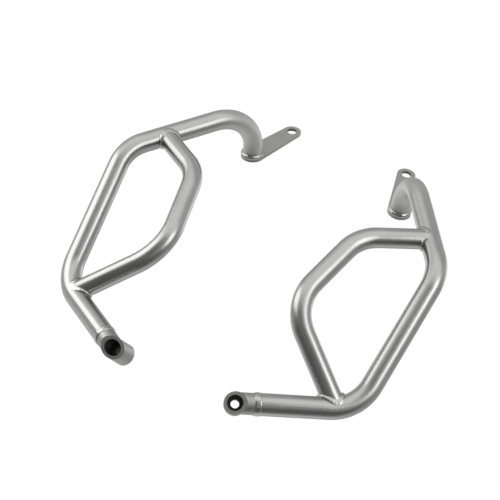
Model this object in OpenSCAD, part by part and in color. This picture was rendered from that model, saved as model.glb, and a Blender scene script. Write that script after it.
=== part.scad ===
// Pair of motorcycle crash bars, in millimetres.
// X runs across the motorcycle, Y to its rear and Z up. The origin lies under the middle of the pair.
// Each bar is a welded frame of bent steel tube. The right bar, on the +X side, is drawn and the left one
// mirrors it; left and right are as seen from the front. The bar starts at a turned boss, which a bolt holds
// from the front. It runs out to the side and up, and ends over the engine in a hook, whose foot is welded to
// a flat plate with a bolt hole. A brace tube closes the loop.

/* [Tube] */
// Outside diameter of the main tube
tube_d = 27; // [24:0.5:30]
// Wall of both tubes
tube_wall = 2; // [1.5:0.25:3]
// Radius of every bend, at the middle of the tube
bend_r = 60; // [50:1:68]

/* [Main tube] */
// Distance between the two bosses, where each meets its tube
boss_spread = 166; // [130:1:220]
// Lower run: how far its corner lies outboard of the boss
low_out = 123; // [105:1:150]
// Lower run: how far its corner lies behind the boss
low_back = 59.5; // [45:0.5:75]
// Lower run: how far its corner lies above the boss
low_rise = 56.5; // [40:0.5:70]
// Side run: how far the upper corner lies outboard of the lower one
side_out = 18.5; // [5:0.5:30]
// Side run: how far the upper corner lies behind the lower one
side_back = 19; // [5:0.5:35]
// Side run: how far the upper corner lies above the lower one
side_rise = 197; // [175:1:230]
// Top run: how far it comes back inboard
top_in = 107; // [90:1:125]
// Top run: how far it goes to the rear
top_back = 87.5; // [70:0.5:105]
// Top run: how far it climbs
top_rise = 139; // [120:1:160]
// Length of the hook's straight end, from its bend to the plate
hook_tail = 12; // [6:0.5:30]
// Angle of the hook below level, as it runs to the rear
hook_dip = 36.5; // [25:0.5:50]
// Angle that the hook leans inboard
hook_lean = 3; // [0:0.5:10]

/* [Brace tube] */
// How much slimmer than the main tube the brace is, all round
brace_slim = 0.6; // [0.5:0.1:1.5]
// How far behind the main tube's middle line the brace's ends lie
brace_set = 0.4; // [0:0.1:0.5]
// Distance from the boss along the lower run to the brace
brace_low_at = 122; // [105:1:128]
// Distance from the upper corner along the top run to the brace
brace_high_at = 59; // [50:1:75]
// Brace's lower corner: outboard of the boss
brace_out = 5.5; // [-10:0.5:20]
// Brace's lower corner: behind the boss
brace_back = 20.5; // [10:0.5:30]
// Brace's lower corner: above the boss
brace_rise = 137.5; // [125:0.5:150]
// Brace's upper corner: outboard of the lower one
brace_run_out = 28; // [10:0.5:40]
// Brace's upper corner: behind the lower one
brace_run_back = 49.5; // [35:0.5:60]
// Brace's upper corner: above the lower one
brace_run_rise = 118; // [105:0.5:130]

/* [Lower boss] */
// Angle of the bolt's axis inboard, as it runs to the rear
boss_toe = 15; // [0:0.5:20]
// Distance from the tube's axis to the boss's rear face
boss_back = 28; // [24:0.5:40]
// Distance from the tube's axis forward to the middle of the slanted mouth
mouth_front = 3; // [0:0.5:5]
// Angle between the slanted mouth and a square one
mouth_slant = 28; // [0:1:40]
// Diameter of the counterbore for the bolt's head
head_d = 19; // [17:0.5:20]
// Solid length of the boss under the bolt's head
seat_len = 16; // [10:0.5:18]
// Diameter of the bolt's hole
bolt_d = 10.5; // [8.5:0.5:12.5]
// Chamfer of the bolt's hole at the head's seat
seat_chamfer = 0.8; // [0.4:0.1:1.5]
// Chamfer round the rear face
boss_chamfer = 1.5; // [0.5:0.25:2.5]
// How much slimmer than the tube the boss's neck is, all round
neck_inset = 0.5; // [0.1:0.1:1]
// Distance from the bolt's axis along the tube to the end of the boss's neck
neck_len = 25.5; // [22:0.5:34]

/* [Upper plate] */
// Thickness of the plate
plate_t = 4; // [3:0.5:8]
// Width of the plate's rim round the hook's foot
foot_rim = 3; // [3:0.25:6]
// Radius of the plate's tip, round the bolt hole
tip_r = 13; // [11:0.25:15.5]
// Distance from the hook's axis to the middle of the bolt hole
plate_reach = 83; // [70:1:100]
// Angle that the plate leans inboard as it runs up from the hook
plate_lean = 14; // [0:0.5:30]
// Diameter of the plate's bolt hole
hole_d = 14; // [8:0.5:16]

/* [Welds] */
// Width of the brace's weld beads on each tube
weld_leg = 3.5; // [2:0.25:5]
// Height of a fillet bead's crown above a flat one
weld_crown = 0.9; // [0.3:0.1:1.5]
// Width of the bead between the main tube and the boss's neck
butt_w = 7; // [4:0.5:9]
// Height of that bead above the tube
butt_h = 0.8; // [0.6:0.1:1.6]
// Width of the bead round the hook's foot, on the plate
foot_leg = 2.75; // [1.5:0.25:3]
// Height of that bead up the tube
foot_rise = 3.5; // [1.5:0.25:5]

/* [Hidden] */

$fn = 96;
// Radii that follow from the main tube: its bore, the brace, the boss that is turned to the same diameter, the
// boss's neck, and the plate's foot
tube_r = tube_d / 2;
bore_r = tube_r - tube_wall;
brace_r = tube_r - brace_slim;
boss_r = tube_r;
neck_r = tube_r - neck_inset;
foot_r = tube_r + foot_rim;
// A cut passes this far through a face
past = 1;
// A bend is fuller than its runs by this much, and each run reaches this far into it
swell = 0.05;
lap = 0.5;
// Air between a weld bead and the tubes, which clears a bend's swell, and air at the brace's coped ends
snug = 0.08;
root_gap = 0.1;
// Steps round a fillet bead, and points across its crown
bead_steps = 72;
crown_steps = 4;
// Steps that it takes to find where a line meets the main tube
seek_steps = 40;

// Place of the boss: its underside touches the ground, and the pair is centred along Y
boss_y = -136;
boss_at = [boss_spread / 2, boss_y, boss_r];

// Corners of the main tube's middle line
low_corner = boss_at + [low_out, low_back, low_rise];
high_corner = low_corner + [side_out, side_back, side_rise];
hook_corner = high_corner + [-top_in, top_back, top_rise];
hook_dir = [
    -sin(hook_lean), cos(hook_lean) * cos(hook_dip), -cos(hook_lean) * sin(hook_dip)
];
low_dir = unit(low_corner - boss_at);
top_dir = unit(hook_corner - high_corner);
hook_end = hook_corner + (bend_r * tan(bend_angle(top_dir, hook_dir) / 2) + hook_tail) * hook_dir;
neck_end = boss_at + neck_len * low_dir;
main_line = [neck_end, low_corner, high_corner, hook_corner, hook_end];
// The same line carried past both ends, which cuts a bore right through
main_core = [
    neck_end - past * low_dir, low_corner, high_corner, hook_corner, hook_end + past * hook_dir
];

// Corners of the brace's middle line
brace_low = boss_at + [brace_out, brace_back, brace_rise];
brace_high = brace_low + [brace_run_out, brace_run_back, brace_run_rise];
low_cross = nearest(main_line, boss_at + brace_low_at * low_dir);
high_cross = nearest(main_line, high_corner + brace_high_at * top_dir);
brace_foot = low_cross + brace_set * rearward(low_dir, brace_low - low_cross);
brace_head = high_cross + brace_set * rearward(top_dir, brace_high - high_cross);
brace_line = [brace_foot, brace_low, brace_high, brace_head];

// Axis of the boss, pointing to the rear, and the angle between it and its tube
boss_dir = [-sin(boss_toe), cos(boss_toe), 0];
elbow = bend_angle(boss_dir, low_dir);

// The plate lies square to the hook, and its long side leans inboard
plate_x = unit(cross([0, 0, 1], hook_dir));
plate_y = cross(hook_dir, plate_x);
plate_dir = cos(plate_lean) * plate_y + sin(plate_lean) * plate_x;

// Length and direction
function unit(v) = v / norm(v);

// Angle between two directions
function bend_angle(a, b) = acos(max(-1, min(1, a * b)));

// The direction square to two others that points to the rear
function rearward(a, b) = let (n = unit(cross(a, b))) n[1] < 0 ? -n : n;

// A direction square to another one
function square_to(d) = unit(cross(d, abs(d[2]) < 0.9 ? [0, 0, 1] : [1, 0, 0]));

// A bend at corner i of a line: direction in, direction out, angle, and the length that it takes from each run
function dir_in(line, i) = unit(line[i] - line[i - 1]);
function dir_out(line, i) = unit(line[i + 1] - line[i]);
function turn(line, i) = bend_angle(dir_in(line, i), dir_out(line, i));
function setback(line, i) = i == 0 || i == len(line) - 1 ? 0 : bend_r * tan(turn(line, i) / 2);
function bend_normal(line, i) = unit(cross(dir_in(line, i), dir_out(line, i)));
function bend_middle(line, i) =
    line[i] - setback(line, i) * dir_in(line, i) + bend_r * cross(bend_normal(line, i), dir_in(line, i));

// Direction on the side of a line's first run, carried along the line as far as run i
function carried(line, i, side) =
    i == 0 ? side :
    let (
        before = carried(line, i - 1, side),
        n = bend_normal(line, i),
        out = cross(dir_in(line, i), n)
    )
    (before * n) * n + (before * out) * (cos(turn(line, i)) * out + sin(turn(line, i)) * dir_in(line, i));

// Point of one straight run of a line that lies nearest to p
function run_point(line, i, p) =
    let (
        d = dir_out(line, i),
        start = line[i] + setback(line, i) * d,
        length = norm(line[i + 1] - line[i]) - setback(line, i) - setback(line, i + 1)
    )
    start + max(0, min(length, (p - start) * d)) * d;

// Point of one bend of a line that lies nearest to p
function bend_point(line, i, p) =
    let (
        ahead = dir_in(line, i),
        out = cross(ahead, bend_normal(line, i)),
        q = p - bend_middle(line, i),
        at = max(0, min(turn(line, i), atan2(q * ahead, q * out)))
    )
    bend_middle(line, i) + bend_r * (cos(at) * out + sin(at) * ahead);

// Point of the whole line that lies nearest to p
function nearest(line, p) =
    let (
        points = concat(
            [for (i = [0 : len(line) - 2]) run_point(line, i, p)],
            [for (i = [1 : len(line) - 2]) bend_point(line, i, p)]
        ),
        gaps = [for (q = points) norm(p - q)]
    )
    [for (i = [0 : len(points) - 1]) if (gaps[i] == min(gaps)) points[i]][0];

// Follows a straight line from p along d until it comes within reach of the main tube's middle line
function seek(p, d, reach, n = seek_steps) =
    n == 0 ? p : seek(p + (norm(p - nearest(main_line, p)) - reach) * d, d, reach, n - 1);

// Puts a point on the surface of radius r about its nearest point q
function on_surface(p, q, r) = q + r * unit(p - q);

// Places children with Z along z, and X as near as it can be to x
module aim(at, z, x) {
    zz = unit(z);
    yy = unit(cross(zz, x));
    xx = cross(yy, zz);
    multmatrix([
        [xx[0], yy[0], zz[0], at[0]],
        [xx[1], yy[1], zz[1], at[1]],
        [xx[2], yy[2], zz[2], at[2]],
        [0, 0, 0, 1]
    ])
        children();
}

// A round bar along a line: straight runs joined by true bends
module bar(line, r) {
    last = len(line) - 1;
    first = square_to(dir_out(line, 0));
    for (i = [0 : last - 1]) {
        d = dir_out(line, i);
        head = i == 0 ? 0 : lap;
        tail = i == last - 1 ? 0 : lap;
        length = norm(line[i + 1] - line[i]) - setback(line, i) - setback(line, i + 1);
        aim(line[i] + (setback(line, i) - head) * d, d, carried(line, i, first))
            cylinder(h = length + head + tail, r = r);
    }
    for (i = [1 : last - 1]) {
        n = bend_normal(line, i);
        out = cross(dir_in(line, i), n);
        side = carried(line, i - 1, first);
        aim(bend_middle(line, i), n, out)
            rotate_extrude(angle = turn(line, i))
                translate([bend_r, 0])
                    rotate(atan2(side * n, side * out))
                        circle(r = r + swell);
    }
}

module main_tube() {
    color("silver")
        difference() {
            bar(main_line, tube_r);
            bar(main_core, bore_r);
        }
}

// Both ends of the brace are coped to sit on the main tube
module brace_tube() {
    color("silver")
        difference() {
            bar(brace_line, brace_r);
            bar(brace_line, brace_r - tube_wall);
            bar(main_line, tube_r + root_gap);
        }
}

// One turned piece: a boss along the bolt, with a slanted mouth, and a neck along the tube
module lower_boss() {
    far = 3 * tube_d;
    seat = boss_back - seat_len;
    color("lightgray")
        aim(boss_at, boss_dir, low_dir)
            difference() {
                union() {
                    translate([0, 0, -far])
                        cylinder(h = far + boss_back - boss_chamfer, r = boss_r);
                    translate([0, 0, boss_back - boss_chamfer])
                        cylinder(h = boss_chamfer, r1 = boss_r, r2 = boss_r - boss_chamfer);
                    rotate([0, elbow, 0])
                        cylinder(h = neck_len, r = neck_r);
                }
                translate([0, 0, -mouth_front])
                    rotate([0, mouth_slant, 0])
                        translate([-far, -far, -2 * far])
                            cube(2 * far);
                translate([0, 0, -far])
                    cylinder(h = far + seat, r = head_d / 2);
                cylinder(h = boss_back + past, r = bolt_d / 2);
                translate([0, 0, seat])
                    cylinder(h = seat_chamfer, r1 = bolt_d / 2 + seat_chamfer, r2 = bolt_d / 2);
            }
}

// Flat blank of the plate: a round foot and a round tip joined by straight flanks
module plate_blank() {
    lean = asin((foot_r - tip_r) / plate_reach);
    flank = [sin(lean), cos(lean)];
    across = [sin(lean), -cos(lean)];
    tip = [plate_reach, 0];
    cylinder(h = plate_t, r = foot_r);
    translate(tip)
        cylinder(h = plate_t, r = tip_r);
    linear_extrude(height = plate_t)
        polygon([
            (foot_r - swell) * flank,
            (foot_r - swell) * across,
            tip + (tip_r - swell) * across,
            tip + (tip_r - swell) * flank
        ]);
}

module upper_plate() {
    color("darkgray")
        aim(hook_end, hook_dir, plate_dir)
            difference() {
                plate_blank();
                translate([plate_reach, 0, -past])
                    cylinder(h = plate_t + 2 * past, r = hole_d / 2);
            }
}

// A fillet bead along the seam where a straight run of the brace meets the main tube. Each ring of points goes
// from the seam up the brace to one toe, over the crown to the toe on the main tube, and back along that tube.
module saddle_weld(foot, d) {
    u = square_to(d);
    v = cross(d, u);
    r_brace = brace_r + snug;
    r_main = tube_r + snug;
    roots = [
        for (i = [0 : bead_steps - 1])
            let (a = 360 * i / bead_steps)
            seek(foot + r_brace * (cos(a) * u + sin(a) * v) + 3 * tube_d * d, -d, r_main)
    ];
    rings = [
        for (i = [0 : bead_steps - 1])
            let (
                root = roots[i],
                along = unit(roots[(i + 1) % bead_steps] - roots[(i + bead_steps - 1) % bead_steps]),
                up_brace = unit(root - foot - ((root - foot) * d) * d),
                up_main = unit(root - nearest(main_line, root)),
                a_way = weld_leg * unit(cross(up_brace, along)),
                b_way = weld_leg * unit(cross(along, up_main)),
                a_points = [
                    for (f = [0.5, 1])
                        let (p = root + f * a_way)
                        on_surface(p, foot + ((p - foot) * d) * d, r_brace)
                ],
                b_points = [
                    for (f = [1, 0.5])
                        let (p = root + f * b_way)
                        on_surface(p, nearest(main_line, p), r_main)
                ],
                crown = weld_crown * unit(up_brace + up_main)
            )
            concat(
                [root],
                a_points,
                [
                    for (k = [1 : crown_steps - 1])
                        let (f = k / crown_steps)
                        a_points[1] * (1 - f) + b_points[0] * f + 4 * f * (1 - f) * crown
                ],
                b_points
            )
    ];
    points = [for (ring = rings) each ring];
    per = len(rings[0]);
    faces = [
        for (i = [0 : bead_steps - 1], k = [0 : per - 1])
            let (
                j = (i + 1) % bead_steps,
                m = (k + 1) % per
            )
            each [
                [i * per + k, i * per + m, j * per + k],
                [i * per + m, j * per + m, j * per + k]
            ]
    ];
    color("gainsboro")
        polyhedron(points = points, faces = faces);
}

module brace_low_weld() {
    saddle_weld(brace_foot, dir_out(brace_line, 0));
}

module brace_high_weld() {
    saddle_weld(brace_head, -dir_in(brace_line, 3));
}

// Low crowned ring over the seam between the boss's neck and the main tube
module boss_weld() {
    crown_r = (butt_w * butt_w / 4 + butt_h * butt_h) / (2 * butt_h);
    color("gainsboro")
        aim(neck_end, low_dir, square_to(low_dir))
            rotate_extrude()
                difference() {
                    intersection() {
                        translate([tube_r + butt_h - crown_r, 0])
                            circle(r = crown_r);
                        translate([neck_r + snug, -butt_w])
                            square([tube_r, 2 * butt_w]);
                    }
                    translate([0, -snug])
                        square([tube_r + snug, butt_w]);
                }
}

// Rounded ring round the hook's foot
module plate_weld() {
    bulge = [
        for (k = [0 : crown_steps])
            let (a = 90 * k / crown_steps)
            [tube_r + snug + (foot_leg - snug) * cos(a), foot_rise * sin(a)]
    ];
    color("gainsboro")
        aim(hook_end, -hook_dir, [0, 0, 1])
            rotate_extrude()
                polygon(concat([[tube_r + snug, 0]], bulge));
}

// The left bar mirrors the right one
module left() {
    mirror([1, 0, 0])
        children();
}

left() main_tube();  // left_main_tube
left() brace_tube();  // left_brace_tube
left() lower_boss();  // left_lower_boss
left() upper_plate();  // left_upper_plate
left() brace_low_weld();  // left_brace_low_weld
left() brace_high_weld();  // left_brace_high_weld
left() boss_weld();  // left_boss_weld
left() plate_weld();  // left_plate_weld
main_tube();  // right_main_tube
brace_tube();  // right_brace_tube
lower_boss();  // right_lower_boss
upper_plate();  // right_upper_plate
brace_low_weld();  // right_brace_low_weld
brace_high_weld();  // right_brace_high_weld
boss_weld();  // right_boss_weld
plate_weld();  // right_plate_weld
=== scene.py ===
"""Looks, floor, light and camera for a mirrored pair of motorcycle crash bars, in metres."""
import math

import bmesh
import bpy
from mathutils import Matrix, Vector
from mathutils.bvhtree import BVHTree


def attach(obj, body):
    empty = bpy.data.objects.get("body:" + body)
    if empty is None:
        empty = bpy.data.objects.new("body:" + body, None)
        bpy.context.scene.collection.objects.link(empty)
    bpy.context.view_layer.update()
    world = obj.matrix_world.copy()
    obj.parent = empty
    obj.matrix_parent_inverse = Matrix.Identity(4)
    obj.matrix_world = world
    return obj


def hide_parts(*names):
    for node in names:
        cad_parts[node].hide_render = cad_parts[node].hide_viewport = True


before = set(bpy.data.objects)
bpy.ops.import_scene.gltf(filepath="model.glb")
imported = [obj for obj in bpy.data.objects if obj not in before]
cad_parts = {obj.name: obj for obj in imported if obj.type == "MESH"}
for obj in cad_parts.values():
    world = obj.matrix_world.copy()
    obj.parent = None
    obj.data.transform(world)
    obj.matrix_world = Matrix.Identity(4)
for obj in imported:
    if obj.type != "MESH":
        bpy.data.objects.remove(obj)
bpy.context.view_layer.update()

scene = bpy.context.scene
scene.view_settings.view_transform = "Standard"
SIDES = ("left", "right")
UP = Vector((0, 0, 1))
WHITE = (1, 1, 1, 1)

# Main sizes and places of the right bar; the left one mirrors it
TUBE_R = 0.0135
BRACE_R = 0.0129
NECK_R = 0.013
NECK = 0.0255  # from the bolt's axis to the neck's end, along the tube
HOOK = 0.074095  # from the hook's corner to its end
AIR = 0.00008  # between a bead and what it is laid on
BOSS_TOE = math.radians(15)
BOSS_AT = Vector((0.083, -0.136, 0.0135))
BOSS_AXIS = Vector((-math.sin(BOSS_TOE), math.cos(BOSS_TOE), 0))
LOW_CORNER = Vector((0.206, -0.0765, 0.070))
LOW_DIR = (LOW_CORNER - BOSS_AT).normalized()
NECK_END = BOSS_AT + NECK * LOW_DIR
HOOK_CORNER = Vector((0.1175, 0.030, 0.406))
HOOK_DIR = Vector((-0.052336, 0.802755, -0.594008))
HOOK_END = HOOK_CORNER + HOOK * HOOK_DIR
PLATE_HOLE = Vector((0.090368, 0.137516, 0.425586))
BRACE_FOOT = Vector((0.184007, -0.086659, 0.06065))
BRACE_LOW = Vector((0.0885, -0.1155, 0.151))
BRACE_HIGH = Vector((0.1165, -0.066, 0.269))
BRACE_HEAD = Vector((0.192265, -0.030837, 0.308607))


def new_node(tree, kind, **settings):
    """A shader node with these settings."""
    node = tree.nodes.new("ShaderNode" + kind)
    for key, value in settings.items():
        setattr(node, key, value)
    return node


def ramp(tree, value, low, high, out_low, out_high, interpolation="LINEAR"):
    """A value mapped from low..high to out_low..out_high."""
    node = new_node(tree, "MapRange", interpolation_type=interpolation)
    for key, number in (("From Min", low), ("From Max", high), ("To Min", out_low), ("To Max", out_high)):
        node.inputs[key].default_value = number
    tree.links.new(value, node.inputs["Value"])
    return node.outputs["Result"]


def maths(tree, operation, a, b):
    """a and b are sockets or numbers."""
    node = new_node(tree, "Math", operation=operation)
    for socket, value in zip(node.inputs, (a, b)):
        if hasattr(value, "links"):
            tree.links.new(value, socket)
        else:
            socket.default_value = value
    return node.outputs[0]


def vectors(tree, operation, a, b):
    """a is a socket, and b a fixed vector."""
    node = new_node(tree, "VectorMath", operation=operation)
    tree.links.new(a, node.inputs[0])
    node.inputs[1].default_value = b
    return node


def scaled(tree, colour, factor):
    """A colour times a factor; both are sockets."""
    node = new_node(tree, "VectorMath", operation="SCALE")
    tree.links.new(colour, node.inputs[0])
    tree.links.new(factor, node.inputs["Scale"])
    return node.outputs[0]


def noise(tree, where, scale, detail):
    """Noise with that many waves a metre, or so."""
    node = new_node(tree, "TexNoise")
    node.inputs["Scale"].default_value = scale
    node.inputs["Detail"].default_value = detail
    tree.links.new(where, node.inputs["Vector"])
    return node.outputs["Fac"]


def split(tree, where):
    """The X, Y and Z of a vector."""
    node = new_node(tree, "SeparateXYZ")
    tree.links.new(where, node.inputs[0])
    return node.outputs


def rays(tree, *kinds):
    """1 for rays of any of these kinds."""
    path = new_node(tree, "LightPath")
    out = path.outputs[kinds[0]]
    for kind in kinds[1:]:
        out = maths(tree, "MAXIMUM", out, path.outputs[kind])
    return out


def mixed(tree, part, a, b):
    """Shader b where part is 1, and a elsewhere."""
    node = new_node(tree, "MixShader")
    tree.links.new(part, node.inputs[0])
    tree.links.new(a, node.inputs[1])
    tree.links.new(b, node.inputs[2])
    return node.outputs[0]


# Materials
EDGE_TONE = (0.85, 0.85, 0.85, 1)  # how much of the light at a tube's edges satin steel gives back
FINE_SHARE = 0.55  # of the fine grain in the finish; the rest is slow and cloudy
FINE_DETAIL = 3.0
SLOW_DETAIL = 4.0
DARKEST_AT = 0.35  # these four are values of the finish's noise
PALEST_AT = 0.62
SMOOTHEST_AT = 0.35
ROUGHEST_AT = 0.65
GRAIN_HEIGHT = 0.0002
SHADE_EDGE = (-0.0001, 0.0003)  # where a hole's shade starts and ends to fade, from the hole's edge


def bore_shade(tree, where, at, axis, radius, depth, lost):
    """Painted shade in a hole that light hardly reaches, on both bars: 1 outside it, and less inside. at is
    a point on its axis, the shade ends at depth from there, and lost is the share of the colour that the
    painted shade takes."""
    x, y, z = split(tree, where)
    fold = new_node(tree, "CombineXYZ")
    tree.links.new(maths(tree, "ABSOLUTE", x, 0), fold.inputs["X"])
    tree.links.new(y, fold.inputs["Y"])
    tree.links.new(z, fold.inputs["Z"])
    local = vectors(tree, "SUBTRACT", fold.outputs[0], at).outputs[0]
    along = vectors(tree, "DOT_PRODUCT", local, axis).outputs["Value"]
    across = vectors(tree, "CROSS_PRODUCT", local, axis).outputs[0]
    far = vectors(tree, "LENGTH", across, (0, 0, 0)).outputs["Value"]
    near_axis = ramp(tree, far, radius + SHADE_EDGE[0], radius + SHADE_EDGE[1], 1, 0)
    in_depth = ramp(tree, along, depth, depth + SHADE_EDGE[1], 1, 0)
    inside = maths(tree, "MULTIPLY", near_axis, in_depth)
    return maths(tree, "SUBTRACT", 1, maths(tree, "MULTIPLY", inside, lost))


def steel(name, colour, rough, grain=1400.0, bump=0.05, smudge=38.0, spread=0.05, dark=0.88, blasted=None,
          hole=None):
    """Satin steel: a fine grain in tone, bump and roughness, and slow cloudy changes of tone. dark is the
    share of the colour in its darkest spots, and spread is how far the roughness strays. Between blasted's
    start and end along Y the finish turns rougher by so much, and paler by that share. hole is a hole in
    which bore_shade paints shade."""
    material = bpy.data.materials.new(name)
    material.use_nodes = True
    tree = material.node_tree
    tree.nodes.clear()
    out = new_node(tree, "OutputMaterial")
    surface = new_node(tree, "BsdfPrincipled")
    surface.inputs["Metallic"].default_value = 1.0
    surface.inputs["Specular Tint"].default_value = EDGE_TONE
    tree.links.new(surface.outputs[0], out.inputs[0])

    where = new_node(tree, "TexCoord").outputs["Object"]
    fine = noise(tree, where, grain, FINE_DETAIL)
    slow = noise(tree, where, smudge, SLOW_DETAIL)
    both = maths(
        tree, "ADD", maths(tree, "MULTIPLY", fine, FINE_SHARE), maths(tree, "MULTIPLY", slow, 1 - FINE_SHARE)
    )
    tone = new_node(tree, "ValToRGB")
    darkest, palest = tone.color_ramp.elements
    darkest.position = DARKEST_AT
    darkest.color = [c * dark for c in colour] + [1]
    palest.position = PALEST_AT
    palest.color = list(colour) + [1]
    tree.links.new(both, tone.inputs["Fac"])
    seen = tone.outputs["Color"]
    level = ramp(tree, both, SMOOTHEST_AT, ROUGHEST_AT, rough - spread, rough + spread)
    # painted shade inside a hole, darker than the steel's own colour
    if hole:
        seen = scaled(tree, seen, bore_shade(tree, where, **hole))
    if blasted:
        y = split(tree, where)["Y"]
        share = ramp(tree, y, blasted["start"], blasted["end"], 0, 1, "SMOOTHSTEP")
        level = maths(tree, "ADD", level, maths(tree, "MULTIPLY", share, blasted["rougher"]))
        seen = scaled(tree, seen, ramp(tree, share, 0, 1, 1, 1 + blasted["paler"]))
    tree.links.new(seen, surface.inputs["Base Color"])
    tree.links.new(level, surface.inputs["Roughness"])

    relief = new_node(tree, "Bump")
    relief.inputs["Strength"].default_value = bump
    relief.inputs["Distance"].default_value = GRAIN_HEIGHT
    tree.links.new(fine, relief.inputs["Height"])
    tree.links.new(relief.outputs["Normal"], surface.inputs["Normal"])
    return material


TUBE = steel(
    "tube_satin_steel", (0.42, 0.42, 0.417), rough=0.29,
    blasted={"start": -0.03, "end": 0.05, "rougher": 0.26, "paler": 0.4}
)
BOSS = steel(
    "boss_turned_steel", (0.42, 0.42, 0.415), rough=0.46, smudge=90.0, dark=0.8,
    # painted shade in the bolt's bore
    hole={"at": BOSS_AT, "axis": BOSS_AXIS, "radius": 0.0095, "depth": 0.0270, "lost": 0.8}
)
PLATE = steel(
    "plate_blasted_steel", (0.38, 0.38, 0.375), rough=0.5, bump=0.12,
    # painted shade on the wall of the plate's hole
    hole={"at": PLATE_HOLE, "axis": HOOK_DIR, "radius": 0.0071, "depth": 0.01, "lost": 0.5}
)
WELD = steel("weld_bright_steel", (0.45, 0.45, 0.445), rough=0.2, grain=700.0, bump=0.12)

# What a node's name holds, its material, and the width to which its edges are broken
FINISHES = (
    ("weld", WELD, 0),
    ("boss", BOSS, 0.0004),
    ("plate", PLATE, 0.0010),
    ("tube", TUBE, 0),
)
BREAK_STEPS = 3
BREAK_FROM = math.radians(40)  # smallest angle between two faces whose edge is broken


def break_edges(part, width):
    """Rounds a part's sharp edges."""
    bevel = part.modifiers.new("broken_edges", "BEVEL")
    bevel.width = width
    bevel.segments = BREAK_STEPS
    bevel.limit_method = "ANGLE"
    bevel.angle_limit = BREAK_FROM


for name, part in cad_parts.items():
    material, broken = next((material, broken) for kind, material, broken in FINISHES if kind in name)
    part.data.materials.clear()
    part.data.materials.append(material)
    if broken:
        break_edges(part, broken)


# Weld beads
STEPS = 240  # round a bead
ACROSS = 12  # over its crown
DRIFT = 1.1  # how far the ripples drift from even spacing, in radians
DRIFT_WAVES = 3
BOW = 1.7  # how far a ripple bows forward at the crown's middle, in radians
SWINGS = ((0.12, 2, 1), (0.08, 5, 0))  # slow changes of height: share, waves round the bead, phase
SHARP_FROM = math.radians(50)
SADDLE_LEG = 0.0035
SADDLE_HIGH = 0.0010
SADDLE_RIPPLES = 30
SEEK_FROM = 4 * TUBE_R
SEEK_STEPS = 60  # steps that it takes to find the seam
AHEAD = 3  # steps to each side between which the seam's direction is taken
FEATHER = 0.8  # how much lower a bead is where the two tubes are nearly flush


def bead(name, roots, a_toes, b_toes, crowns, high, ripples, depth=0.35, flat=2):
    """A closed ring of weld on both bars, which stands for the plain CAD bead. Its cross-section runs from
    the root to one toe, over a rippled crown and to the other toe. depth is the ripples' share of the
    height, and the crown is the flatter, with steeper edges, the higher flat is."""
    points = []
    for i in range(STEPS):
        turn = 2 * math.pi * i / STEPS
        drift = DRIFT * math.sin(DRIFT_WAVES * turn)
        swing = sum(share * math.sin(waves * turn + phase) for share, waves, phase in SWINGS)
        points.append(roots[i])
        for k in range(ACROSS + 1):
            f = k / ACROSS
            arch = 1 - abs(2 * f - 1) ** flat
            bow = 4 * BOW * f * (1 - f)
            wave = abs(math.sin((ripples * turn + drift + bow) / 2))
            lift = high * arch * (1 - depth + depth * wave + swing)
            points.append(a_toes[i].lerp(b_toes[i], f) + lift * crowns[i])
    per = ACROSS + 2
    faces = []
    for i in range(STEPS):
        for k in range(per):
            j, m = (i + 1) % STEPS, (k + 1) % per
            faces.append((i * per + k, i * per + m, j * per + m, j * per + k))
    for side in SIDES:
        flip = -1 if side == "left" else 1
        mesh = bpy.data.meshes.new("%s_%s_rippled" % (side, name))
        mesh.from_pydata([(flip * p.x, p.y, p.z) for p in points], [], faces)
        draft = bmesh.new()
        draft.from_mesh(mesh)
        bmesh.ops.recalc_face_normals(draft, faces=draft.faces)
        draft.to_mesh(mesh)
        draft.free()
        mesh.shade_smooth()
        mesh.set_sharp_from_angle(angle=SHARP_FROM)
        mesh.materials.append(WELD)
        piece = bpy.data.objects.new(mesh.name, mesh)
        scene.collection.objects.link(piece)
        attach(piece, "root")
        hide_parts("%s_%s" % (side, name))


def spokes(axis):
    """Directions all round an axis, one for each step of a bead."""
    u = axis.orthogonal().normalized()
    v = axis.cross(u)
    turns = [2 * math.pi * i / STEPS for i in range(STEPS)]
    return [math.cos(turn) * u + math.sin(turn) * v for turn in turns]


def ring_bead(name, middle, axis, root, a_toe, b_toe, **shape):
    """A bead round a tube; root and toes are (radius, distance along the axis from the middle)."""
    out = spokes(axis)
    spots = [[middle + r * o + z * axis for o in out] for r, z in (root, a_toe, b_toe)]
    chord = Vector((b_toe[0] - a_toe[0], b_toe[1] - a_toe[1]))
    lean = Vector((abs(chord.y), abs(chord.x))).normalized()
    crowns = [(lean.x * o + lean.y * axis).normalized() for o in out]
    bead(name, *spots, crowns, **shape)


def saddle_bead(name, foot, away):
    """A bead along the seam where the brace meets the main tube. foot lies by the main tube's middle line,
    and the brace runs away from it."""
    main = BVHTree.FromObject(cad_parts["right_main_tube"], bpy.context.evaluated_depsgraph_get())
    out = spokes(away)
    roots, ups = [], []
    for o in out:
        p = foot + (BRACE_R + AIR) * o + SEEK_FROM * away
        for _ in range(SEEK_STEPS):
            near, _, _, gap = main.find_nearest(p)
            p = p - (gap - AIR) * away
        roots.append(p)
        ups.append((p - near).normalized())
    a_toes, b_toes, crowns = [], [], []
    for i, (o, up, root) in enumerate(zip(out, ups, roots)):
        along = (roots[(i + AHEAD) % STEPS] - roots[i - AHEAD]).normalized()
        a = root + SADDLE_LEG * o.cross(along).normalized()
        b = root + SADDLE_LEG * along.cross(up).normalized()
        rise = a - foot
        square = (rise - rise.dot(away) * away).normalized()
        a_toes.append(foot + rise.dot(away) * away + (BRACE_R + AIR) * square)
        near, normal, _, _ = main.find_nearest(b)
        b_toes.append(near + AIR * normal)
        crowns.append((1 - FEATHER * max(0, o.dot(up))) * (o + up).normalized())
    bead(name, roots, a_toes, b_toes, crowns, high=SADDLE_HIGH, ripples=SADDLE_RIPPLES)


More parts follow.
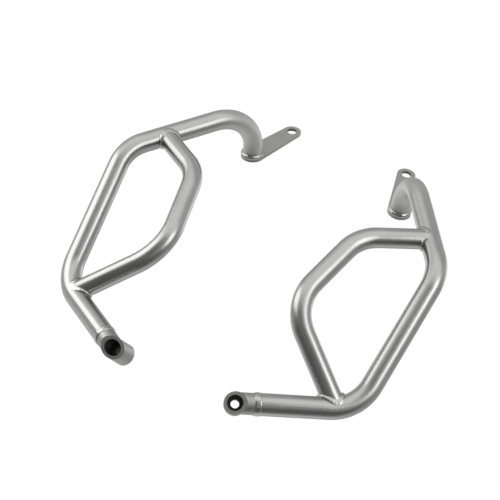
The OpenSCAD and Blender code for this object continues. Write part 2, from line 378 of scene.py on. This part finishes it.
ring_bead(
    "boss_weld", NECK_END, LOW_DIR,
    root=(NECK_R + AIR, 0), a_toe=(NECK_R + AIR, -0.0040), b_toe=(TUBE_R + AIR, 0.0036),
    high=0.0007, ripples=30, depth=0.15, flat=6
)
ring_bead(
    "plate_weld", HOOK_END, -HOOK_DIR,
    root=(TUBE_R + AIR, 0), a_toe=(TUBE_R + 0.0029, 0), b_toe=(TUBE_R + AIR, 0.0052),
    high=0.0015, ripples=22, depth=0.1
)
saddle_bead("brace_low_weld", BRACE_FOOT, (BRACE_LOW - BRACE_FOOT).normalized())
saddle_bead("brace_high_weld", BRACE_HEAD, (BRACE_HIGH - BRACE_HEAD).normalized())


# Room
EVEN = (0.62, 0.62, 0.62, 1)  # what rough surfaces get from all sides
ROOM = 1.0  # what the steel mirrors outside the patches
PATCHES = (  # azimuth, elevation, half width and half height as parts of a sphere's radius, grey
    (0, 89, 0.85, 0.85, 0.62),
    (180, -50, 1.70, 1.10, 0.68),
    (-5, 50, 1.40, 0.50, 1.35),
    (-95, 14, 1.20, 0.85, 1.45),
    (-132, 2, 0.90, 0.70, 1.10),
    (-166, 44, 1.20, 0.75, 1.45),
    (15, -46, 1.65, 1.00, 0.17),
    (6, -2, 0.75, 0.64, 0.25),
    (40, 0, 0.45, 0.55, 0.45),
)
PATCH_DEEP = 3  # a patch's reach toward the middle and beyond the sphere, in radii
FULL_AT = 0.5  # value of a patch's gradient, 1 in its middle and 0 at its edge, from which it is full


def toward(azimuth, elevation):
    """Direction from the object. Azimuth 0 is in front of it (-Y), 90 on its +X side, 180 behind it."""
    a, e = math.radians(azimuth), math.radians(elevation)
    return Vector((math.sin(a) * math.cos(e), -math.cos(a) * math.cos(e), math.sin(e)))


def patch(tree, way, azimuth, elevation, wide, high):
    """1 in the middle of a soft oval in that direction, and 0 outside it."""
    ahead = toward(azimuth, elevation)
    across = UP.cross(ahead).normalized()
    place = new_node(tree, "Mapping", vector_type="TEXTURE")
    place.inputs["Location"].default_value = ahead
    turn = Matrix((across, ahead.cross(across), ahead)).transposed()
    place.inputs["Rotation"].default_value = turn.to_euler()
    place.inputs["Scale"].default_value = (wide, high, PATCH_DEEP)
    tree.links.new(way, place.inputs["Vector"])
    ball = new_node(tree, "TexGradient", gradient_type="SPHERICAL")
    tree.links.new(place.outputs[0], ball.inputs[0])
    return ramp(tree, ball.outputs["Fac"], 0, FULL_AT, 0, 1, "SMOOTHSTEP")


def blended(tree, part, a, b):
    """b where part is 1, and a elsewhere; a is a socket or a number, and b a number."""
    node = new_node(tree, "Mix", data_type="FLOAT")
    node.inputs["B"].default_value = b
    tree.links.new(part, node.inputs["Factor"])
    if hasattr(a, "links"):
        tree.links.new(a, node.inputs["A"])
    else:
        node.inputs["A"].default_value = a
    return node.outputs["Result"]


def background(tree, colour):
    """colour is a socket or four numbers."""
    node = new_node(tree, "Background")
    if hasattr(colour, "links"):
        tree.links.new(colour, node.inputs["Color"])
    else:
        node.inputs["Color"].default_value = colour
    return node.outputs[0]


def build_world():
    """The room: white to the camera, an even grey to rough surfaces, and white with darker and brighter
    patches where the steel mirrors it."""
    world = bpy.data.worlds.new("studio")
    scene.world = world
    world.use_nodes = True
    tree = world.node_tree
    tree.nodes.clear()
    way = new_node(tree, "TexCoord").outputs["Generated"]
    room = ROOM
    for azimuth, elevation, wide, high, grey in PATCHES:
        room = blended(tree, patch(tree, way, azimuth, elevation, wide, high), room, grey)
    lit = mixed(tree, rays(tree, "Is Glossy Ray"), background(tree, EVEN), background(tree, room))
    lit = mixed(tree, rays(tree, "Is Camera Ray", "Is Transmission Ray"), lit, background(tree, WHITE))
    tree.links.new(lit, new_node(tree, "OutputWorld").inputs[0])


build_world()

# Floor
FLOOR_Z = -0.42
FLOOR_SIZE = 14
FLOOR_TONE = (0.8, 0.8, 0.8, 1)
GLOW = 1.15
GLOW_SHARE = 0.8  # of what the camera sees; the rest is lit, and shows the shadow


def build_floor():
    """A pale floor that mirrors nothing: what the steel mirrors of it is the room."""
    bpy.ops.mesh.primitive_plane_add(size=FLOOR_SIZE, location=(0, 0, FLOOR_Z))
    floor = bpy.context.object
    floor.name = "floor"
    material = bpy.data.materials.new("pale_floor")
    material.use_nodes = True
    tree = material.node_tree
    tree.nodes.clear()
    matt = new_node(tree, "BsdfDiffuse")
    matt.inputs["Color"].default_value = FLOOR_TONE
    glow = new_node(tree, "Emission")
    glow.inputs["Color"].default_value = WHITE
    glow.inputs["Strength"].default_value = GLOW
    through = new_node(tree, "BsdfTransparent")
    glowing = maths(tree, "MULTIPLY", rays(tree, "Is Camera Ray", "Is Transmission Ray"), GLOW_SHARE)
    seen = mixed(tree, glowing, matt.outputs[0], glow.outputs[0])
    seen = mixed(tree, rays(tree, "Is Glossy Ray"), seen, through.outputs[0])
    tree.links.new(seen, new_node(tree, "OutputMaterial").inputs[0])
    floor.data.materials.append(material)


build_floor()

# Soft lights
MIDDLE = Vector((0, 0, 0.22))


def softbox(name, azimuth, elevation, distance, size, radiance):
    """A rectangular soft light that faces the middle of the pair."""
    data = bpy.data.lights.new(name, "AREA")
    data.shape = "RECTANGLE"
    data.size, data.size_y = size
    data.energy = radiance * math.pi * size[0] * size[1]
    light = bpy.data.objects.new(name, data)
    scene.collection.objects.link(light)
    light.location = MIDDLE + distance * toward(azimuth, elevation)
    light.rotation_mode = "QUATERNION"
    light.rotation_quaternion = (-toward(azimuth, elevation)).to_track_quat("-Z", "Y")


softbox("front_left", -59, 10, distance=1.43, size=(1.35, 0.75), radiance=1.85)
softbox("front_right", 57, 16, distance=1.6, size=(0.80, 0.90), radiance=2.13)
softbox("back_right", 155, 28, distance=2.4, size=(1.8, 1.1), radiance=0.85)
softbox("back_left", -138, 6, distance=2.4, size=(0.9, 1.2), radiance=0.90)

# Camera, fitted to the bars' outlines in the photograph
PHOTO_PX = 500
FOCAL_PX = 1334.09
SENSOR_MM = 36
CAM_AT = Vector((0.50398, -1.63746, -0.10365))
CAM_SIDE = Vector((0.8817, 0.2024, 0.4262))
CAM_AHEAD = Vector((-0.3027, 0.9356, 0.1818)).normalized()
CAM_UP = CAM_SIDE.cross(CAM_AHEAD).normalized()
CAM_RIGHT = CAM_AHEAD.cross(CAM_UP)
CLIP = (0.05, 50)


def build_camera():
    """The camera at the photograph's angle."""
    data = bpy.data.cameras.new("camera")
    data.sensor_width = SENSOR_MM
    data.lens = SENSOR_MM * FOCAL_PX / PHOTO_PX
    data.clip_start, data.clip_end = CLIP
    camera = bpy.data.objects.new("camera", data)
    scene.collection.objects.link(camera)
    turn = Matrix((CAM_RIGHT, CAM_UP, -CAM_AHEAD)).transposed().to_4x4()
    camera.matrix_world = Matrix.Translation(CAM_AT) @ turn
    scene.camera = camera


build_camera()
